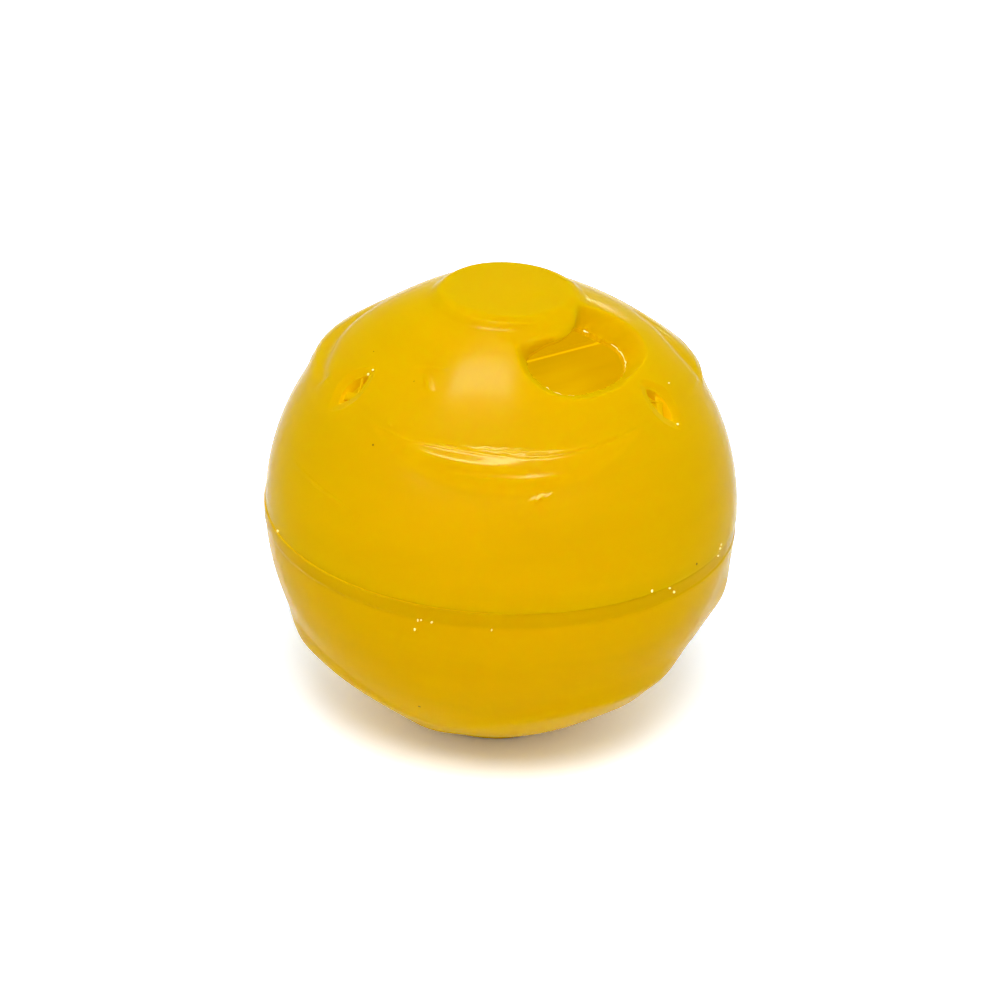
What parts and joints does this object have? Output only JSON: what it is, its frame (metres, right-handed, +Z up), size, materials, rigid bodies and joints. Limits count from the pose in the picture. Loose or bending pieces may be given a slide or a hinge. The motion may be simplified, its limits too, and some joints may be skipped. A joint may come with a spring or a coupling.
{
  "type": "treat dispensing ball",
  "caption": "Hollow two-part rolling ball with raised pads, slots, an oval treat mouth and an inner maze, which twists open for filling.",
  "frame": {"origin": "middle of the foot's flat face, on the surface that the ball stands on", "axes": "+Z up through the top disc; -Y towards the treat mouth, square to the baffle"},
  "size_m": [0.1278, 0.1278, 0.1261],
  "materials": {
    "upper_shell": "glossy translucent soft plastic, golden yellow",
    "lower_shell": "glossy translucent soft plastic, golden yellow",
    "maze": "satin translucent plastic, golden yellow"
  },
  "bodies": {
    "lower_half": {"lower_shell": "lower_shell", "maze_floor": "maze", "baffle_wall": "maze"},
    "upper_half": {"upper_shell": "upper_shell"}
  },
  "joints": [
    {"name": "twist_lock", "type": "hinge", "parent": "lower_half", "child": "upper_half", "pos_m": [0, 0, 0.0648], "axis": [0, 0, 1], "range_deg": [0, 24]}
  ]
}
